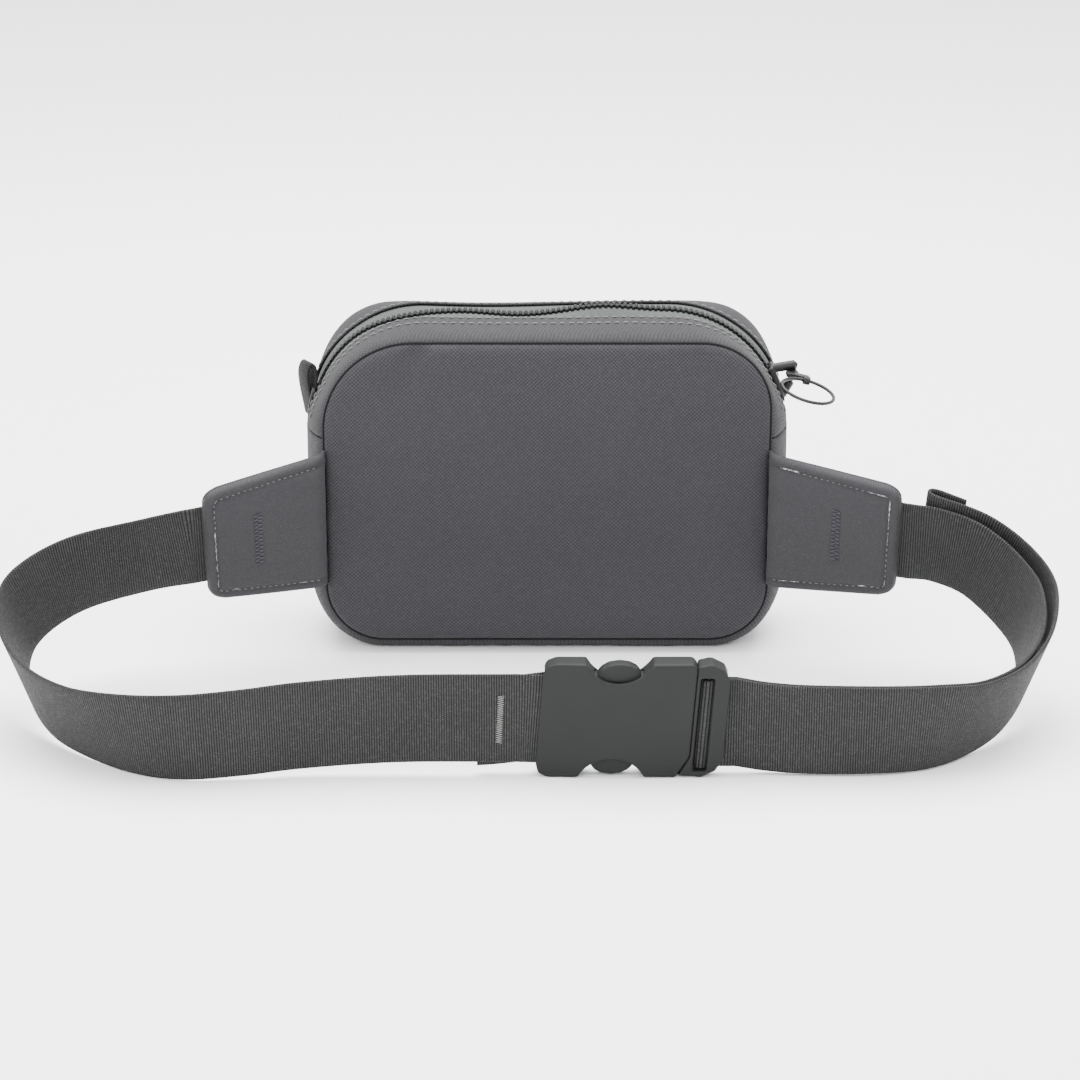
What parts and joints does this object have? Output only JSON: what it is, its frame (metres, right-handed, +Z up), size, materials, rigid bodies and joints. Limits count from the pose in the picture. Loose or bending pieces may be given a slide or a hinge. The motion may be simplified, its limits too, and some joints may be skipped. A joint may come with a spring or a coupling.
{
  "type": "waist pack",
  "caption": "Small zipped waist pack with padded hip wings, a webbing belt and a side-release buckle; zip, pull ring and buckle move",
  "frame": {"origin": "on the floor under the middle of the pouch's flat base, midway between its two seams", "axes": "+X along the wearer's width toward the slider's end, -Y toward the wearer, +Z up"},
  "size_m": [0.4418, 0.2064, 0.1506],
  "materials": {
    "canvas_back": "woven",
    "canvas_front": "woven",
    "canvas_gusset": "woven",
    "zip_strip": "woven",
    "zip_tape": "woven",
    "zip_teeth": "satin",
    "slider_metal": "satin",
    "ring_metal": "satin",
    "lining_cloth": "plain weave",
    "binding_tape": "ribbed",
    "foam": "soft foam",
    "wing_cloth": "fine woven",
    "webbing": "ribbed webbing",
    "loop_tape": "ribbed tape",
    "buckle_plastic": "fine grain"
  },
  "bodies": {
    "pack": {"back_panel": "canvas_back", "front_panel": "canvas_front", "lower_gusset": "canvas_gusset", "zip_strip_rear": "zip_strip", "zip_strip_front": "zip_strip", "zip_end_left": "zip_strip", "zip_end_right": "zip_strip", "zipper_tape_rear": "zip_tape", "zipper_tape_front": "zip_tape", "zipper_teeth_rear": "zip_teeth", "zipper_teeth_front": "zip_teeth", "end_stop_rear": "zip_teeth", "end_stop_front": "zip_teeth", "bottom_stop": "zip_teeth", "lining": "lining_cloth", "rear_seam_binding": "binding_tape", "front_seam_binding": "binding_tape", "back_foam_pad": "foam", "left_wing_foam": "foam", "right_wing_foam": "foam", "left_wing_inner_cover": "wing_cloth", "right_wing_inner_cover": "wing_cloth", "left_wing_outer_cover": "wing_cloth", "right_wing_outer_cover": "wing_cloth", "left_strap": "webbing", "right_strap": "webbing", "grab_loop": "loop_tape", "buckle_female": "buckle_plastic"},
    "slider": {"slider_body": "slider_metal"},
    "puller": {"puller_tab": "slider_metal"},
    "ring": {"pull_ring": "ring_metal"},
    "plug": {"buckle_male": "buckle_plastic"},
    "latch_up": {"latch_upper": "buckle_plastic"},
    "latch_low": {"latch_lower": "buckle_plastic"}
  },
  "joints": [
    {"name": "zip_slide", "type": "hinge", "parent": "pack", "child": "slider", "pos_m": [0.051, 0, 0.097], "axis": [0, -1, 0], "range_deg": [0, 60], "deforming": ["zipper_teeth_rear", "zipper_teeth_front"]},
    {"name": "puller_swing", "type": "hinge", "parent": "slider", "child": "puller", "pos_m": [0.107, 0, 0.11963], "axis": [0.2588, 0, 0.9659], "range_deg": [0, 150]},
    {"name": "ring_swing", "type": "hinge", "parent": "puller", "child": "ring", "pos_m": [0.1126, -0.0076, 0.11812], "axis": [0.9659, 0, -0.2588], "range_deg": [-100, 0]},
    {"name": "buckle_release", "type": "slide", "parent": "pack", "child": "plug", "axis": [1, 0, 0], "range_m": [0, 0.035], "deforming": ["right_strap", "latch_upper", "latch_lower"]},
    {"name": "latch_upper_squeeze", "type": "hinge", "parent": "plug", "child": "latch_up", "pos_m": [0.052, -0.159, 0.0374], "axis": [0, -1, 0], "range_deg": [0, 10.5], "stiffness_Nm_per_rad": 0.5},
    {"name": "latch_lower_squeeze", "type": "hinge", "parent": "plug", "child": "latch_low", "pos_m": [0.052, -0.159, 0.0114], "axis": [0, 1, 0], "range_deg": [0, 10.5], "stiffness_Nm_per_rad": 0.5}
  ]
}
